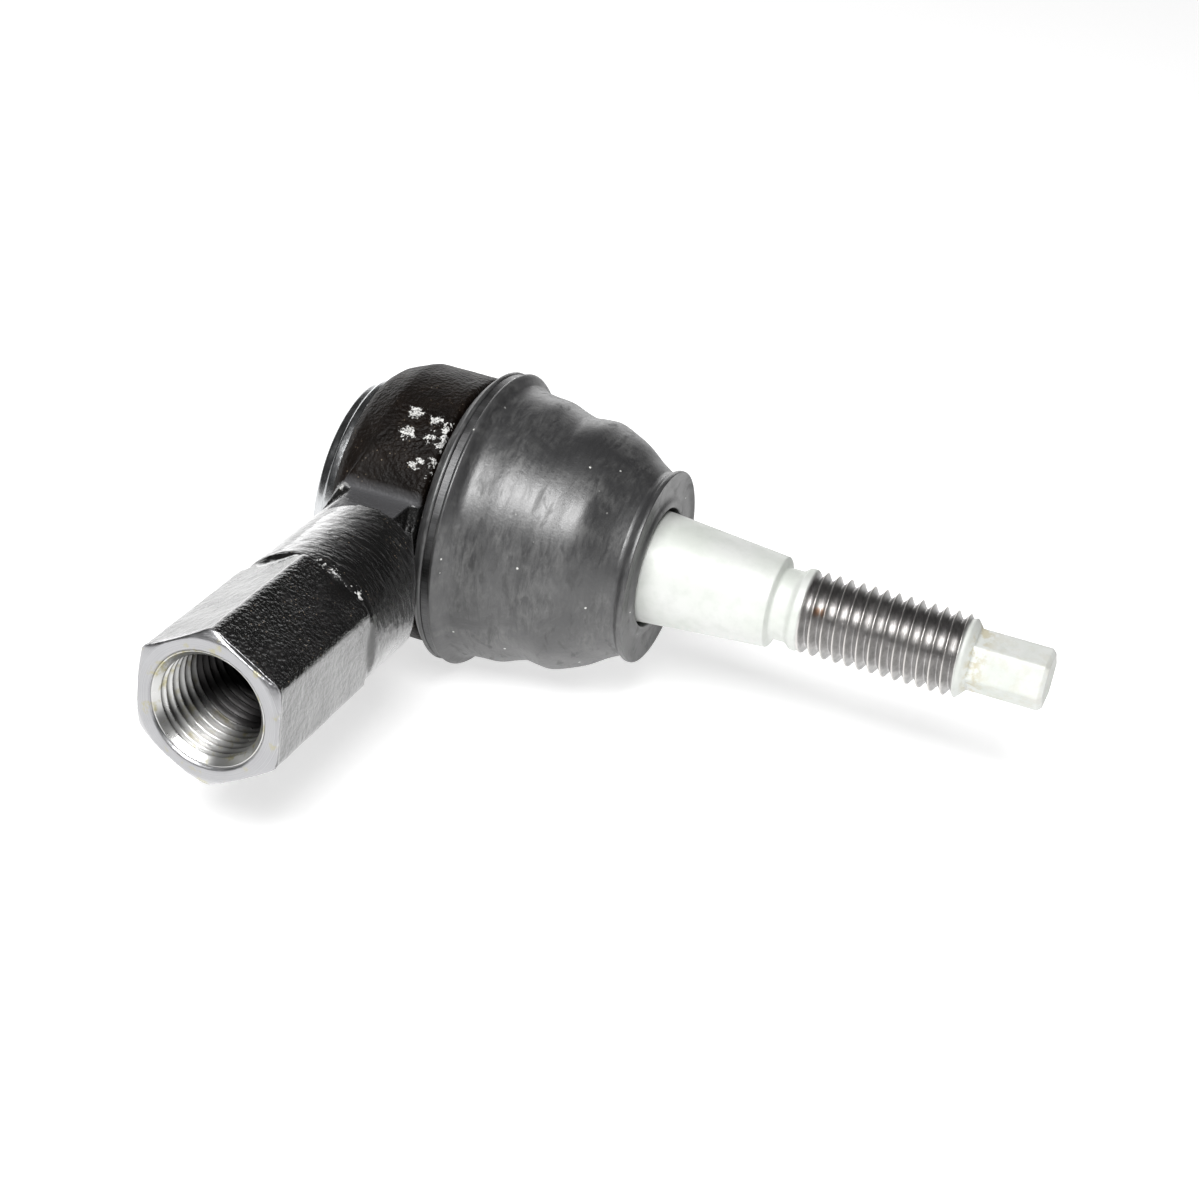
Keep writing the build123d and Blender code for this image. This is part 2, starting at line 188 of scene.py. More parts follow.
class Shader:
    """A Principled material and short calls for the nodes that feed it."""

    def __init__(self, name, **settings):
        self.material = bpy.data.materials.new(name)
        self.material.use_nodes = True
        self.tree = self.material.node_tree
        self.principled = self.tree.nodes["Principled BSDF"]
        for socket, value in settings.items():
            self.principled.inputs[socket.replace("_", " ")].default_value = value
        self.place = self.tree.nodes.new("ShaderNodeTexCoord").outputs["Object"]

    def link(self, source, target):
        self.tree.links.new(source, target)

    def put(self, socket, value):
        """Set a node input to a constant, or link an output to it."""
        if hasattr(value, "is_output"):
            self.link(value, socket)
        else:
            socket.default_value = value

    def math(self, operation, a, b=0.0, clamp=False):
        node = self.tree.nodes.new("ShaderNodeMath")
        node.operation, node.use_clamp = operation, clamp
        self.put(node.inputs[0], a)
        self.put(node.inputs[1], b)
        return node.outputs[0]

    def stretched(self, scale, vector=None):
        """Coordinates scaled by (x, y, z)."""
        node = self.tree.nodes.new("ShaderNodeMapping")
        self.link(self.place if vector is None else vector, node.inputs["Vector"])
        node.inputs["Scale"].default_value = scale
        return node.outputs[0]

    def noise(self, scale, detail=4.0, roughness=0.5, distortion=0.0, vector=None):
        node = self.tree.nodes.new("ShaderNodeTexNoise")
        self.link(self.place if vector is None else vector, node.inputs["Vector"])
        for socket, value in (("Scale", scale), ("Detail", detail), ("Roughness", roughness),
                              ("Distortion", distortion)):
            node.inputs[socket].default_value = value
        return node.outputs["Fac"]

    def cells(self, scale, vector=None, feature="F1"):
        node = self.tree.nodes.new("ShaderNodeTexVoronoi")
        node.feature = feature
        self.link(self.place if vector is None else vector, node.inputs["Vector"])
        node.inputs["Scale"].default_value = scale
        return node.outputs["Distance"]

    def ramp(self, value, *stops):
        """Map a value through (position, grey or colour) stops."""
        node = self.tree.nodes.new("ShaderNodeValToRGB")
        self.link(value, node.inputs["Fac"])
        elements = node.color_ramp.elements
        while len(elements) < len(stops):
            elements.new(0.5)
        for element, (position, colour) in zip(elements, stops):
            element.position = position
            element.color = (*colour, 1.0) if isinstance(colour, tuple) else (colour, colour, colour, 1.0)
        return node.outputs["Color"]

    def range(self, value, low, high, out_low=0.0, out_high=1.0):
        node = self.tree.nodes.new("ShaderNodeMapRange")
        self.link(value, node.inputs["Value"])
        for socket, number in (("From Min", low), ("From Max", high),
                               ("To Min", out_low), ("To Max", out_high)):
            node.inputs[socket].default_value = number
        return node.outputs[0]

    def mix(self, factor, a, b):
        """Colour a where factor is 0, b where it is 1."""
        node = self.tree.nodes.new("ShaderNodeMix")
        node.data_type = "RGBA"
        self.put(node.inputs[0], factor)
        for socket, value in ((node.inputs[6], a), (node.inputs[7], b)):
            self.put(socket, (*value, 1.0) if isinstance(value, tuple) else value)
        return node.outputs[2]

    def axes(self):
        node = self.tree.nodes.new("ShaderNodeSeparateXYZ")
        self.link(self.place, node.inputs[0])
        return node.outputs

    def length(self, vector):
        node = self.tree.nodes.new("ShaderNodeVectorMath")
        node.operation = "LENGTH"
        self.link(vector, node.inputs[0])
        return node.outputs["Value"]

    def distance(self, place):
        """Distance in metres from a place in mm."""
        node = self.tree.nodes.new("ShaderNodeVectorMath")
        node.operation = "DISTANCE"
        self.link(self.place, node.inputs[0])
        node.inputs[1].default_value = Vector(place) * MM
        return node.outputs["Value"]

    def bump(self, height, distance, strength=1.0, after=None):
        node = self.tree.nodes.new("ShaderNodeBump")
        self.link(height, node.inputs["Height"])
        node.inputs["Distance"].default_value = distance
        node.inputs["Strength"].default_value = strength
        if after is not None:
            self.link(after, node.inputs["Normal"])
        return node.outputs[0]

    def finish(self, **inputs):
        """Link the named Principled inputs and return the material."""
        for socket, value in inputs.items():
            self.put(self.principled.inputs[socket.replace("_", " ")], value)
        return self.material


# --- camera, floor and light ---------------------------------------------------------------------
CAMERA_PLACE = Vector((0.1274, -0.3021, 0.1602))
CAMERA_AIM = Vector((0.0247, 0.0030, -0.0096))
CAMERA_ROLL = 7.6
CAMERA_LENS, SENSOR_WIDTH = 73.7, 36.0
WINDOW_DIRECTION = (-0.55, 0.835, 0.0)
ROOM_LEVEL, WINDOW_LEVEL = 0.04, 3.0
WINDOW_HEIGHT_FADE, WINDOW_SIDE_FADE = (0.58, 0.08), (0.72, 0.92)
KEY_PLACE, KEY_SIZE, KEY_POWER = (0.052, -0.506, 0.634), (0.54, 0.42), 9.6
FLOOR_HALF_SIZE, FLOOR_GAP, FLOOR_GLOW = 15.0, 0.0002, 0.96


def make_camera():
    data = bpy.data.cameras.new("camera")
    data.lens, data.sensor_width = CAMERA_LENS, SENSOR_WIDTH
    data.clip_start, data.clip_end = 0.01, 60.0
    camera = bpy.data.objects.new("camera", data)
    bpy.context.scene.collection.objects.link(camera)
    camera.location = CAMERA_PLACE
    level = (CAMERA_AIM - CAMERA_PLACE).to_track_quat("-Z", "Y")
    camera.rotation_mode = "QUATERNION"
    camera.rotation_quaternion = level @ Quaternion((0, 0, 1), radians(CAMERA_ROLL))
    bpy.context.scene.camera = camera


def make_light(name, place, size, power, target=Vector((0.02, -0.02, 0.0))):
    data = bpy.data.lights.new(name, "AREA")
    data.shape, data.size, data.size_y, data.energy = "RECTANGLE", size[0], size[1], power
    light = bpy.data.objects.new(name, data)
    bpy.context.scene.collection.objects.link(light)
    light.location = place
    light.rotation_mode = "QUATERNION"
    light.rotation_quaternion = (target - Vector(place)).to_track_quat("-Z", "Y")


def make_world():
    """Dim room with one tall bright window, low behind the part and to its left."""
    world = bpy.data.worlds.new("studio")
    bpy.context.scene.world = world
    world.use_nodes = True
    nodes, links = world.node_tree.nodes, world.node_tree.links
    direction = nodes.new("ShaderNodeTexCoord").outputs["Generated"]

    def fade(value, dim, bright):
        node = nodes.new("ShaderNodeMapRange")
        node.interpolation_type = "SMOOTHSTEP"
        links.new(value, node.inputs["Value"])
        node.inputs["From Min"].default_value, node.inputs["From Max"].default_value = dim, bright
        return node.outputs[0]

    height = nodes.new("ShaderNodeSeparateXYZ")
    links.new(direction, height.inputs[0])
    towards = nodes.new("ShaderNodeVectorMath")
    towards.operation = "DOT_PRODUCT"
    links.new(direction, towards.inputs[0])
    towards.inputs[1].default_value = WINDOW_DIRECTION
    window = nodes.new("ShaderNodeMath")
    window.operation = "MULTIPLY"
    links.new(fade(height.outputs["Z"], *WINDOW_HEIGHT_FADE), window.inputs[0])
    links.new(fade(towards.outputs["Value"], *WINDOW_SIDE_FADE), window.inputs[1])
    level = nodes.new("ShaderNodeMapRange")
    links.new(window.outputs[0], level.inputs["Value"])
    level.inputs["To Min"].default_value, level.inputs["To Max"].default_value = ROOM_LEVEL, WINDOW_LEVEL
    links.new(level.outputs[0], nodes["Background"].inputs["Color"])


def make_floor():
    """Pale translucent paper, lit a little from below as on a light table."""
    half, z = FLOOR_HALF_SIZE, cad_low.z - FLOOR_GAP
    corners = [(-half, -half, z), (half, -half, z), (half, half, z), (-half, half, z)]
    mesh = bpy.data.meshes.new("floor")
    mesh.from_pydata(corners, [], [(0, 1, 2, 3)])
    floor_object = bpy.data.objects.new("floor", mesh)
    bpy.context.scene.collection.objects.link(floor_object)
    paper = Shader("floor_paper", Roughness=0.9)
    grain = paper.noise(900.0, 3.0)
    white = paper.ramp(grain, (0.3, 0.67), (0.7, 0.69))
    give(floor_object, paper.finish(Base_Color=white, Emission_Color=white, Emission_Strength=FLOOR_GLOW))


bpy.context.scene.view_settings.view_transform = "Standard"
make_camera()
make_world()
make_light("softbox_key", KEY_PLACE, KEY_SIZE, KEY_POWER)
make_floor()


# --- materials -----------------------------------------------------------------------------------
# Where the paint's look changes, in metres: (start, end) of each fade along Y, Z or the flat's normal
SHANK_NECK_FADE, SHANK_HEX_FADE = (-0.0275, -0.0290), (-0.0465, -0.0445)
COARSE_FLAT_NORMAL, COARSE_FLAT_FADE = (0.5, 0.866), (0.0092, 0.0097)
BARE_END_FADE = ((HEX_END + 1.05) * MM, (HEX_END + 0.9) * MM)
# The flat above the neck is painted a pale grey that is partly dust and partly painted sheen
SHEEN_DUST_SHANK_FADE, SHEEN_DUST_HEAD_FADE = (-0.0266, -0.0256), (-0.0174, -0.0182)
SHEEN_DUST_HEIGHT_FADE = (0.0080, 0.0084)
PRIMER, RUST, DUST_AND_SHEEN = (0.72, 0.72, 0.70), (0.20, 0.16, 0.115), (0.095, 0.095, 0.10)
TURNED_DARK, TURNED_LIGHT, OIL_FILM = (0.30, 0.30, 0.31), (0.41, 0.41, 0.42), (0.36, 0.33, 0.16)

# Clusters of chips: place and size in mm
CHIPS = (
    ((-2.1, -9.2, 18.0), 1.7), ((-1.8, -12.3, 16.1), 1.7), ((1.7, -12.1, 16.2), 1.3),
    ((1.4, -9.5, 17.8), 1.2), ((4.0, -11.5, 16.6), 1.5), ((1.6, -15.0, 13.5), 0.9),
    ((4.3, -15.9, 12.5), 1.4), ((3.8, -14.8, 13.8), 1.5), ((3.7, -12.7, 15.7), 1.4),
    ((3.1, -10.7, 17.1), 1.2), ((3.5, -9.7, 17.7), 1.0), ((0.8, -15.5, 12.9), 0.8),
    ((-8.4, -18.4, 8.3), 1.1), ((2.0, -44.7, 9.8), 1.1), ((3.2, -44.1, 9.1), 1.2),
    ((4.4, -43.8, 8.4), 1.1), ((5.9, -44.0, 7.6), 1.0), ((7.4, -44.3, 6.7), 1.1),
)


def black_paint(name, tone, rough, **settings):
    """Thick black paint over a rough forging; the hexagon's end is bare, and small chips show pale primer."""
    s = Shader(name, **settings)
    x, y, z = s.axes()
    lumps = s.noise(520.0, 3.0, 0.55)
    ripple = s.noise(1.0, 2.0, 0.5, 0.6, s.stretched((340.0, 1150.0, 340.0)))
    grit = s.noise(1750.0, 2.0, 0.5)
    # ripples run round the shank, and grit covers the rest, coarser on the hexagon's upper flat
    shank = s.math("MULTIPLY", s.range(y, *SHANK_NECK_FADE), s.range(y, *SHANK_HEX_FADE))
    ripple = s.math("MULTIPLY", ripple, s.range(shank, 0, 1, 0.0, 2.3))
    height = s.math("ADD", s.math("MULTIPLY", lumps, 0.25), ripple)
    towards_flat = [s.math("MULTIPLY", place, part) for place, part in zip((x, z), COARSE_FLAT_NORMAL)]
    coarse = s.range(s.math("ADD", *towards_flat), *COARSE_FLAT_FADE, 1.1, 2.4)
    height = s.math("ADD", height, s.math("MULTIPLY", grit, s.mix(shank, coarse, (0.25, 0.25, 0.25))))
    # bare machined end
    edge = s.math("ADD", y, s.math("MULTIPLY", s.noise(700.0, 2.0), 0.0004))
    bare = s.range(edge, *BARE_END_FADE)
    # clusters of chips in the paint, and a few rusty specks
    speckle = s.noise(3600.0, 3.0, 0.75)
    ragged = s.math("MULTIPLY", s.math("SUBTRACT", s.noise(1500.0, 2.0), 0.5), 0.0032)
    chips = None
    for place, size in CHIPS:
        near = s.range(s.math("ADD", s.distance(place), ragged), size * MM, 0.4 * size * MM)
        spot = s.range(s.math("ADD", s.math("MULTIPLY", near, 0.45), speckle), 0.84, 1.0)
        chips = spot if chips is None else s.math("MAXIMUM", chips, spot)
    rust = s.math("MULTIPLY", s.range(s.cells(1500.0), 0.20, 0.12), s.range(s.noise(260.0), 0.5, 0.6))
    from_axis = s.length(s.stretched((1.0, 0.0, 1.0)))
    turning = s.noise(1.0, 2.0, 0.5, 0.0, s.stretched((9000.0, 9000.0, 9000.0), from_axis))
    dark = s.ramp(s.noise(260.0, 4.0), (0.35, tone), (0.7, tuple(2.2 * c for c in tone)))
    metal = s.ramp(turning, (0.3, TURNED_DARK), (0.7, TURNED_LIGHT))
    oil = s.math("MULTIPLY", s.range(s.noise(420.0, 4.0, 0.6), 0.58, 0.66), 0.6)
    metal = s.mix(oil, metal, OIL_FILM)
    colour = s.mix(s.math("MULTIPLY", rust, 0.65), dark, RUST)
    colour = s.mix(chips, colour, PRIMER)
    # smooth flat above the neck, coloured pale as dust and as painted sheen
    flat = s.math("MULTIPLY", s.range(y, *SHEEN_DUST_SHANK_FADE), s.range(z, *SHEEN_DUST_HEIGHT_FADE))
    flat = s.math("MULTIPLY", flat, s.range(y, *SHEEN_DUST_HEAD_FADE))
    colour = s.mix(s.math("MULTIPLY", flat, 0.8), colour, DUST_AND_SHEEN)
    rough_paint = s.range(s.noise(300.0, 3.0), 0.3, 0.7, rough, rough + 0.14)
    paint_bump = s.bump(s.math("MULTIPLY", height, s.range(bare, 0, 1, 1.0, 0.12)), 0.00022, 0.7)
    relief = s.math("SUBTRACT", s.math("MULTIPLY", turning, bare), chips)
    return s.finish(
        Base_Color=s.mix(bare, colour, metal),
        Metallic=bare,
        Roughness=s.math("ADD", s.math("MULTIPLY", s.math("MAXIMUM", bare, chips), 0.14), rough_paint),
        Normal=s.bump(relief, 0.00003, 0.6, paint_bump),
    )


def bare_steel(name, low=0.5, high=0.7, roughness=0.3, grain=(400.0, 6000.0, 6000.0)):
    """Plain machined or rolled steel with fine marks around the X axis."""
    s = Shader(name, Metallic=1.0)
    marks = s.noise(1.0, 3.0, 0.6, 0.0, s.stretched(grain))
    blotch = s.noise(350.0, 3.0)
    tone = s.math("ADD", s.math("MULTIPLY", marks, 0.6), s.math("MULTIPLY", blotch, 0.4))
    return s.finish(
        Base_Color=s.ramp(tone, (0.35, (low, low, low * 1.01)), (0.65, (high, high, high * 1.01))),
        Roughness=s.range(blotch, 0.3, 0.7, roughness * 0.8, roughness * 1.25),
        Normal=s.bump(marks, 0.00002, 0.5),
    )


def socket_steel():
    """Freshly cut thread: bright with an oily film near the mouth, with painted shade that darkens it further
    in and in the thread roots.
    """
    s = Shader("socket_steel", Metallic=1.0)
    y = s.axes()["Y"]
    blotch = s.noise(420.0, 4.0, 0.6)
    # painted shade: the colour turns nearly black deeper into the bore
    inwards = s.math("ADD", y, s.math("MULTIPLY", blotch, 0.002))
    painted_shade_depth = s.range(inwards, (HEX_END + 4.5) * MM, (HEX_END + 12.0) * MM)
    bright = s.mix(s.range(blotch, 0.54, 0.66), (0.57, 0.57, 0.56), (0.42, 0.39, 0.24))
    # painted shade in the thread roots
    root = s.range(s.length(s.stretched((1.0, 0.0, 1.0))), 0.00735, 0.00770, 0.0, 0.9)
    root = s.math("MULTIPLY", root, s.range(y, (HEX_END + 1.3) * MM, (HEX_END + 1.7) * MM))
    bright = s.mix(root, bright, (0.06, 0.058, 0.055))
    return s.finish(
        Base_Color=s.mix(painted_shade_depth, bright, (0.030, 0.029, 0.029)),
        Roughness=s.range(blotch, 0.3, 0.7, 0.26, 0.36),
        Normal=s.bump(s.noise(1.0, 3.0, 0.6, 0.0, s.stretched((5000.0, 900.0, 5000.0))), 0.00002, 0.5),
    )


STUD_RUST_SPOT = (59.6, -5.0, 2.9)


def stud_plating():
    """Pale satin plating on the taper, neck and tip; a dark burnished thread between them."""
    s = Shader("stud_plating")
    x = s.axes()["X"]
    thread = s.math("MULTIPLY", s.range(x, 0.0567, 0.0572), s.range(x, 0.0800, 0.0795))
    mottle = s.noise(500.0, 5.0, 0.6)
    pale = s.ramp(s.noise(140.0, 3.0), (0.35, (0.62, 0.645, 0.605)), (0.65, (0.67, 0.68, 0.66)))
    pale = s.mix(s.range(mottle, 0.45, 0.8, 0.0, 0.4), pale, (0.47, 0.50, 0.46))
    # oily film where the tip starts
    film = s.math("MULTIPLY", s.range(x, 0.0806, 0.0812), s.range(x, 0.0840, 0.0822, 0.22, 1.0))
    film = s.math("MULTIPLY", film, s.range(s.noise(650.0, 4.0, 0.65), 0.48, 0.60))
    pale = s.mix(s.math("MULTIPLY", film, 0.6), pale, (0.44, 0.38, 0.21))
    dark = s.ramp(s.noise(900.0, 4.0, 0.6), (0.3, (0.32, 0.315, 0.31)), (0.7, (0.50, 0.49, 0.485)))
    from_axis = s.length(s.stretched((0.0, 1.0, 1.0)))
    # painted highlight: the thread crests are coloured lighter
    crest = s.math("MULTIPLY", thread, s.range(from_axis, 0.00578, 0.00598))
    dark = s.mix(crest, dark, (0.62, 0.60, 0.58))
    ragged = s.math("MULTIPLY", mottle, 0.0012)
    rust = s.range(s.math("ADD", s.distance(STUD_RUST_SPOT), ragged), 0.0017, 0.0012)
    dark = s.mix(s.math("MULTIPLY", rust, 0.75), dark, (0.22, 0.12, 0.06))
    return s.finish(
        Base_Color=s.mix(thread, pale, dark),
        Metallic=s.range(thread, 0, 1, 0.12, 1.0),
        Roughness=s.math("ADD", s.range(mottle, 0.3, 0.7, 0.46, 0.58), s.math("MULTIPLY", thread, -0.18)),
        Normal=s.bump(s.noise(2600.0, 3.0, 0.6), 0.00003, 0.5),
    )


def boot_rubber(name):
    """Moulded black rubber with handling dust, dark rub marks, faint streaks and pale specks."""
    s = Shader(name, Specular_IOR_Level=1.0)
    rest = s.tree.nodes.new("ShaderNodeAttribute")
    rest.attribute_name = "rest_place"
    s.place = rest.outputs["Vector"]
    smudge = s.noise(120.0, 5.0, 0.65, 0.8)
    rub = s.noise(1.0, 4.0, 0.6, 0.5, s.stretched((640.0, 250.0, 250.0)))
    streaks = s.noise(1.0, 4.0, 0.65, 0.5, s.stretched((1500.0, 380.0, 380.0)))
    dust = s.math("MULTIPLY", s.range(smudge, 0.42, 0.66), s.range(streaks, 0.38, 0.62))
    specks = s.range(s.cells(420.0), 0.085, 0.055)
    specks = s.math("MULTIPLY", specks, s.range(s.noise(240.0, 1.0), 0.52, 0.58))
    base = s.ramp(s.noise(60.0, 3.0), (0.3, (0.024, 0.024, 0.025)), (0.7, (0.038, 0.038, 0.039)))
    dusty = s.mix(s.math("MULTIPLY", dust, 0.38), base, (0.20, 0.20, 0.195))
    rubbed = s.mix(s.range(rub, 0.55, 0.68, 0.0, 0.6), dusty, (0.012, 0.012, 0.012))
    fine = s.math("ADD", s.noise(1700.0, 4.0, 0.6), s.math("MULTIPLY", streaks, 0.4))
    dull = s.range(rub, 0.55, 0.68, 0.0, 0.14)
    return s.finish(
        Base_Color=s.mix(s.math("MULTIPLY", specks, 0.85), rubbed, (0.75, 0.75, 0.72)),
        Roughness=s.math("ADD", s.range(streaks, 0.35, 0.65, 0.34, 0.44), dull),
        Normal=s.bump(fine, 0.00006, 0.45),
    )


def cover_plating():
    """Bright plated sheet with a soft drawn texture."""
    s = Shader("cover_plating", Metallic=1.0)
    mottle = s.noise(420.0, 4.0, 0.6)
    return s.finish(
        Base_Color=s.ramp(mottle, (0.3, (0.46, 0.47, 0.48)), (0.7, (0.62, 0.63, 0.64))),
        Roughness=s.range(mottle, 0.3, 0.7, 0.16, 0.3),
        Normal=s.bump(s.noise(1400.0, 3.0), 0.00004, 0.4),
    )


def acetal():
    """Natural acetal bearing plastic, slightly waxy."""
    s = Shader("acetal", Subsurface_Weight=0.1)
    cloud = s.noise(300.0, 4.0)
    return s.finish(
        Base_Color=s.ramp(cloud, (0.3, (0.78, 0.76, 0.69)), (0.7, (0.86, 0.84, 0.78))),
        Roughness=s.range(cloud, 0.3, 0.7, 0.35, 0.5),
        Normal=s.bump(s.noise(2500.0, 2.0), 0.00002, 0.3),
    )


# --- housing -------------------------------------------------------------------------------------
FORGING_VOXEL = 0.28 * MM
# Lumps on the forged faces: waves per mm and height in mm
FORGING_LUMPS = ((0.24, 0.07), (1.2, 0.03))


def forged_housing():
    """The CAD housing re-skinned: edges softened as forging leaves them, and a lumpy painted surface."""
    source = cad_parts["housing"]
    obj = bpy.data.objects.new("housing_forging", source.data.copy())
    bpy.context.scene.collection.objects.link(obj)
    remesh = obj.modifiers.new("skin", "REMESH")
    remesh.mode, remesh.voxel_size = "VOXEL", FORGING_VOXEL
    soften = obj.modifiers.new("soften", "SMOOTH")
    soften.factor, soften.iterations = 0.5, 4
    graph = bpy.context.evaluated_depsgraph_get()
    mesh = bpy.data.meshes.new_from_object(obj.evaluated_get(graph))
    obj.modifiers.clear()
    obj.data = mesh
    mesh.shade_smooth()
    count = len(mesh.vertices)
    points, normals = np.empty(count * 3), np.empty(count * 3)
    mesh.vertices.foreach_get("co", points)
    mesh.vertices.foreach_get("normal", normals)
    points, normals = points.reshape(-1, 3), normals.reshape(-1, 3)
    x, y, z = points.T / MM
    from_stud = np.hypot(y, z)
    from_shank = np.hypot(x, z)
    inside_head = (from_stud < 17.6) & (y > -17.7)
    in_socket = (from_shank < 8.6) & (y < -25.0)
    mouth_face = (x > 3.7) & (from_stud < 19.0)
    machined = inside_head | in_socket | mouth_face | (y < HEX_END + 1.0)
    lumps = np.zeros(count)
    for i in np.flatnonzero(~machined):
        place = Vector(points[i]) / MM
        lumps[i] = sum(noise.noise(place * waves) * height for waves, height in FORGING_LUMPS)
    lumps -= FORGING_LUMPS[0][1]
    lumps[machined] = 0.0
    points += normals * (lumps * MM)[:, None]
    points = np.clip(points, np.array(cad_low), np.array(cad_high))
    mesh.vertices.foreach_set("co", points.ravel())
    mesh.update()
    return obj


def paint_forging(obj):
    """Gloss paint overall, and duller brown-black paint on the band round the head."""
    gloss = black_paint("forging_paint", (0.0036, 0.0035, 0.0034), 0.16, Specular_IOR_Level=0.7,
                        Coat_Weight=1.0, Coat_Roughness=0.13, Coat_IOR=1.6)
    dull = black_paint("head_paint", (0.0034, 0.0021, 0.0014), 0.42, Specular_IOR_Level=0.15)
    give(obj, gloss)
    obj.data.materials.append(dull)
    centres = np.empty(len(obj.data.polygons) * 3)
    obj.data.polygons.foreach_get("center", centres)
    x, y, z = centres.reshape(-1, 3).T / MM
    clear_of_neck = (np.abs(z) > 8.3) | (y > -17.0)
    band = (np.abs(np.hypot(y, z) - 19.1) < 1.5) & (x > -10.7) & (x < 4.2) & clear_of_neck
    obj.data.polygons.foreach_set("material_index", band.astype(np.int32))
    return obj


# --- threads and turned pieces -------------------------------------------------------------------
STUD_PITCH = 1.75
STUD_MAJOR, STUD_ROOT = 6.0, 4.93
STUD_THREAD = (56.6, 80.0)
STUD_THREAD_PHASE = 0.25
TIP_START, TIP_END = 81.3, 92.0
TIP_ACROSS_FLATS, TIP_CORNER, TIP_TURN = 8.0, 4.5, radians(12.0)
SOCKET_PITCH = 1.5
SOCKET_MAJOR, SOCKET_MINOR = 7.95, 7.1
SOCKET_MOUTH, SOCKET_END = HEX_END + 0.35, -37.4
COUNTERSINK_DEPTH = 1.0
SOCKET_WALL = 8.1


def groove(turns):
    """Depth of a rolled thread's groove, 0 at the narrow crest and 1 at the round root."""
    rise = np.abs((turns % 1.0) - 0.5) * 2
    return 1 - np.minimum(rise**1.35, 0.93) / 0.93


def stud_shape(x, angles, radius):
    """Round taper and neck, a helical groove along the thread, and a hexagonal tip."""
    if TIP_START < x:
        flat = (angles - TIP_TURN) % (pi / 3) - pi / 6
        return np.minimum(radius, radius / TIP_CORNER * TIP_ACROSS_FLATS / 2 / np.cos(flat))
    low, high = STUD_THREAD
    fade = smoothstep(low - 0.2, low + 1.2, x) * (1 - smoothstep(high - 0.6, high + 0.5, x))
    turns = (x - low) / STUD_PITCH - angles / (2 * pi) + STUD_THREAD_PHASE
    return radius - groove(turns) * fade * (STUD_MAJOR - STUD_ROOT)


def socket_shape(y, angles, radius):
    """Internal thread: a ridge that stands in from the socket's wall, behind a smooth countersink."""
    if radius > SOCKET_MAJOR:
        return np.full(len(angles), radius)
    turns = (y - SOCKET_MOUTH) / SOCKET_PITCH + angles / (2 * pi)
    countersink = (y - SOCKET_MOUTH) / COUNTERSINK_DEPTH
    solid = 1 - smoothstep(COUNTERSINK_DEPTH - 0.1, COUNTERSINK_DEPTH + 0.5, y - SOCKET_MOUTH)
    ridge = np.minimum(countersink, np.maximum(1 - groove(turns), solid))
    return radius - ridge * (1 - smoothstep(SOCKET_END - 1.5, SOCKET_END, y)) * (SOCKET_MAJOR - SOCKET_MINOR)


def ball_stud():
    """The stud in one piece, from the ball's flat to the drive tip."""
    ball = [(12.0 * cos(a), 12.0 * sin(a)) for a in np.linspace(acos(-10.8 / 12), acos(10.5 / 12), 60)]
    shank = rounded([
        (*ball[-1], 0), (11.4, 5.8, 0.6), (17.0, 5.8, 1.5), (26.0, 8.5, 0.8), (31.0, 8.5, 0.6),
        (52.3, 6.65, 0.25), (52.75, 5.25, 0.4), (55.0, 5.25, 0.4), (55.8, 6.0, 0.25),
        (80.0, 6.0, 0.3), (81.3, 4.5, 0.0),
    ])
    tip = rounded([(81.32, 4.5, 0), (91.4, 4.5, 0.15), (92.0, 3.9, 0.15), (92.0, 0.0, 0)])
    outline = [(-10.8, 0.0), (-10.8, 4.6)] + ball + shank[1:] + tip
    fine = []
    for start, end in zip(outline, outline[1:]):
        near, far = sorted((start[0], end[0]))
        threaded = STUD_THREAD[0] - 0.5 < far and near < STUD_THREAD[1] + 0.6
        fine += resampled([start, end], 0.07 if threaded else 0.5)[:-1]
    return turned("ball_stud_threaded", fine + [outline[-1]], stud_shape, 144)


def socket_thread():
    """The socket's thread, a sleeve whose inner face is the helical ridge."""
    length = [(y, SOCKET_MAJOR) for y in np.arange(SOCKET_MOUTH, SOCKET_END, 0.075)]
    section = [(SOCKET_MOUTH, SOCKET_WALL)] + length + [(SOCKET_END, SOCKET_MAJOR), (SOCKET_END, SOCKET_WALL)]
    return turned("socket_thread", section, socket_shape, 144, axis="Y", closed=True)


def cover_plate():
    """The stamped cover with its small step, hollow behind."""
    outline = rounded([
        (-14.0, 0.0, 0), (-14.0, 15.9, 0.7), (-12.5, 16.0, 0.3), (-12.3, 16.7, 0.4), (-9.7, 16.7, 0.2),
        (-9.7, 17.4, 0.2), (-8.2, 17.4, 0.2), (-8.2, 14.4, 0.3), (-12.9, 14.4, 1.2), (-12.9, 0.0, 0),
    ])
    return turned("cover_plate_stamped", resampled(outline, 1.0), None, 160)


# --- dust boot -----------------------------------------------------------------------------------
BOOT_SPLIT = 18.9
FULL_SIDE = radians(136.0)
# How the folds level out on the full side: rise, middle and width in mm
SIDE_FULLNESS = ((0.50, 18.4, 2.4), (-0.40, 22.4, 1.6), (0.44, 26.2, 2.2))
BOOT_LIP = [
    (4.3, 18.9, 0.2), (4.3, 20.0, 0.4), (5.0, 21.0, 0.5), (5.9, 21.9, 0.4), (6.35, 21.7, 0.2),
    (6.45, 20.7, 0.2), (7.45, 20.7, 0.2), (7.55, 21.9, 0.2), (7.95, 22.1, 0.3), (8.5, 21.7, 0.4),
    (9.2, 20.7, 0.5),
]
BOOT_BODY = [
    (9.2, 20.7), (10.2, 20.2), (12.2, 19.95), (14.7, 19.72), (16.8, 18.95), (18.9, 18.35), (20.6, 18.5),
    (22.6, 18.6), (24.6, 17.9), (27.2, 16.7), (29.9, 14.9), (32.0, 13.75),
]
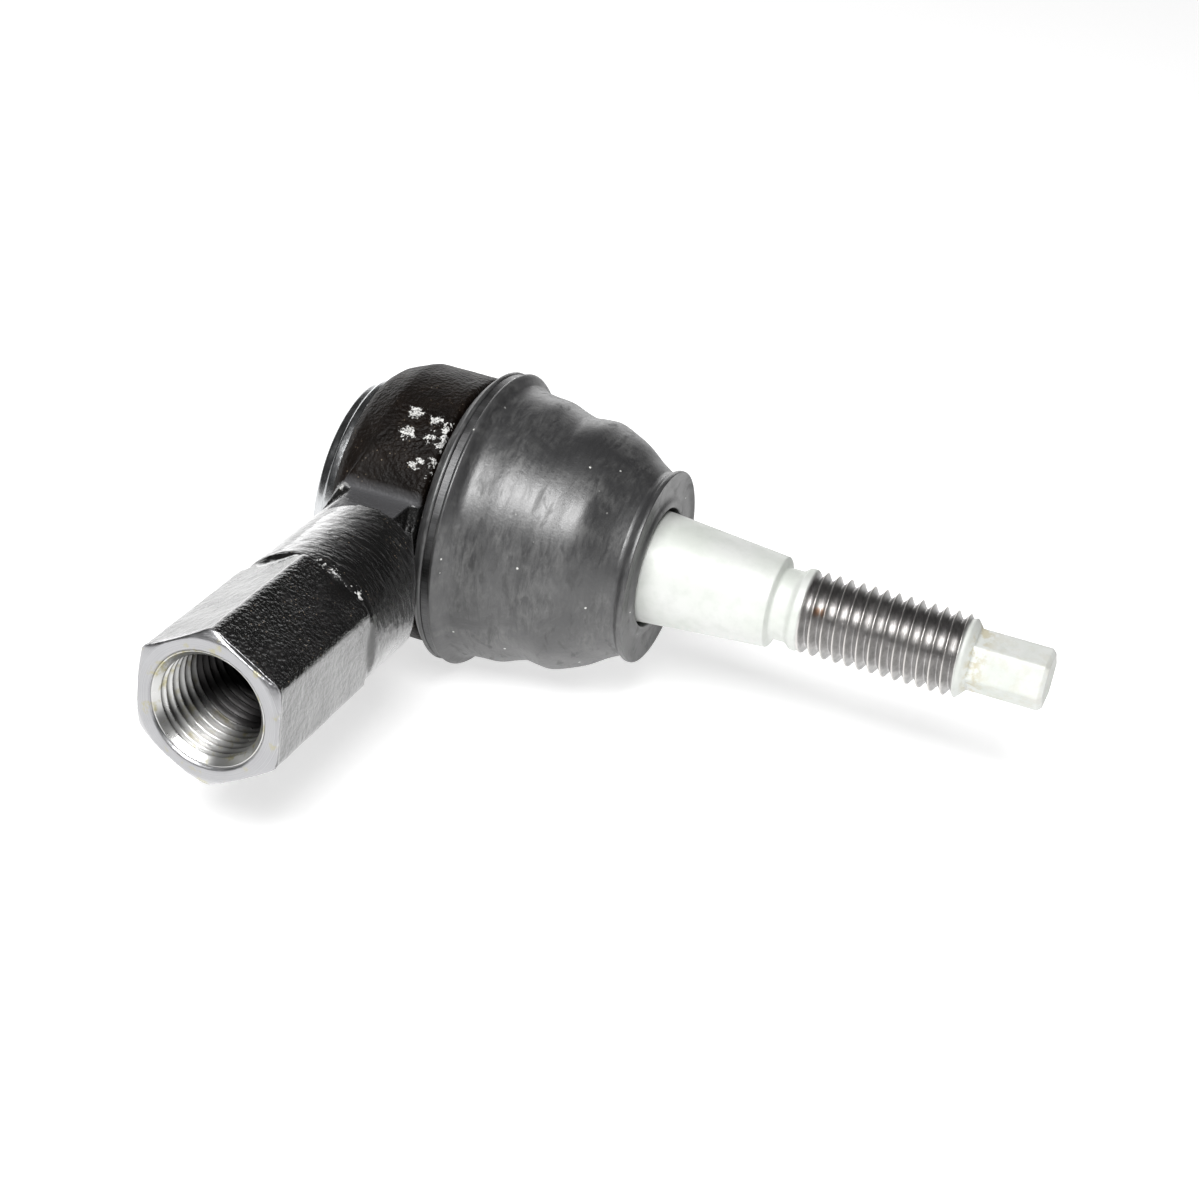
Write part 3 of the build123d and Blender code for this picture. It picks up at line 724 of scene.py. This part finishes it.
BOOT_MOUTH = [
    (32.0, 13.75, 0.3), (32.6, 13.75, 0.4), (33.4, 14.35, 0.4), (34.05, 14.3, 0.25), (33.6, 13.2, 0.5),
    (33.5, 10.6, 0.5), (34.05, 9.7, 0.4), (34.0, 8.9, 0.25), (33.0, 8.78, 0.3), (32.0, 8.85, 0.4),
    (31.4, 9.4, 0.3), (30.8, 8.85, 0.3), (29.8, 8.95, 0.3), (29.5, 10.0, 0.2), (32.3, 10.1, 0.1),
    (32.3, 12.4, 0.1), (30.0, 12.4, 0.2),
]
BOOT_INSIDE = [(30.0, 12.4), (27.0, 14.5), (22.6, 16.5), (18.9, 16.35), (14.7, 17.6), (10.8, 18.9)]
BOOT_SEAT = [
    (10.8, 18.9, 0.2), (8.1, 18.9, 0.2), (7.6, 18.3, 0.2), (6.0, 18.3, 0.2), (5.5, 18.9, 0.2),
    (4.3, 18.9, 0.2),
]


def boot_shape(x, angles, radius):
    """The moulding's slight waviness and a fuller side, both of which fade at the lips."""
    ease = smoothstep(9.0, 13.0, x) * (1 - smoothstep(27.0, 32.0, x))
    wave = [noise.noise(Vector((x * 0.16, 1.6 * cos(a), 1.6 * sin(a)))) for a in angles]
    side = np.exp(-((angles - FULL_SIDE) / 0.7) ** 2)
    fuller = sum(rise * np.exp(-((x - middle) / width) ** 2) for rise, middle, width in SIDE_FULLNESS)
    return radius + np.array(wave) * ease * 0.14 + side * fuller * ease


def boot_piece(name, section):
    obj = turned(name, section, boot_shape, 176, closed=True)
    places = obj.data.attributes.new("rest_place", "FLOAT_VECTOR", "POINT")
    flat = np.empty(len(obj.data.vertices) * 3)
    obj.data.vertices.foreach_get("co", flat)
    places.data.foreach_set("vector", flat)
    at_seam = np.abs(flat[0::3] - BOOT_SPLIT * MM) < 0.02 * MM
    for edge in obj.data.edges:
        edge.use_edge_sharp = bool(at_seam[edge.vertices[0]] and at_seam[edge.vertices[1]])
    return obj


def boot():
    """Two tubes, lower and upper, that meet at the waist."""
    outside = resampled(rounded(BOOT_LIP), 0.3) + smooth_curve(BOOT_BODY)[1:]
    outside += resampled(rounded(BOOT_MOUTH), 0.3)[1:]
    inside = smooth_curve(BOOT_INSIDE)[1:] + resampled(rounded(BOOT_SEAT), 0.3)[1:-1]
    waist = min(range(len(outside)), key=lambda i: abs(outside[i][0] - BOOT_SPLIT) + (outside[i][1] < 17.5))
    neck = min(range(len(inside)), key=lambda i: abs(inside[i][0] - BOOT_SPLIT))
    outside[waist] = (BOOT_SPLIT, outside[waist][1])
    inside[neck] = (BOOT_SPLIT, inside[neck][1])
    lower = boot_piece("boot_lower", outside[:waist + 1] + inside[neck:])
    upper = boot_piece("boot_upper", outside[waist:] + inside[:neck + 1])
    return lower, upper


# --- put together --------------------------------------------------------------------------------
def fit_piece(obj, slot, body, *nodes):
    """Hide the CAD nodes a new piece stands for and attach it to the body it rides on. The slot is not used.
    """
    if nodes:
        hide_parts(*nodes)
    if body:
        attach(obj, body)


fit_piece(paint_forging(forged_housing()), "housing", "housing_body", "housing")
fit_piece(give(socket_thread(), socket_steel()), "steel", "housing_body")
fit_piece(give(cover_plate(), cover_plating()), "cover", "housing_body", "cover_plate")
fit_piece(give(ball_stud(), stud_plating()), "stud", "stud_body", "ball_stud")
boot_lower, boot_upper = boot()
rubber = boot_rubber("boot_rubber")
for half in (boot_lower, boot_upper):
    fit_piece(give(half, rubber), "rubber", None, "boot")
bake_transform(boot_lower)
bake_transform(boot_upper)

plastic = acetal()
node_looks = {
    "front_bearing": plastic,
    "rear_bearing": plastic,
    "pressure_ring": bare_steel("ring_steel"),
    "preload_spring": bare_steel("spring_steel", 0.10, 0.22, 0.35),
    "boot_lip_ring": bare_steel("lip_ring_steel"),
    "boot_clip": bare_steel("clip_steel", 0.10, 0.18, 0.45),
    "cover_seal": boot_rubber("seal_rubber"),
}
for node, look in node_looks.items():
    give(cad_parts[node], look)
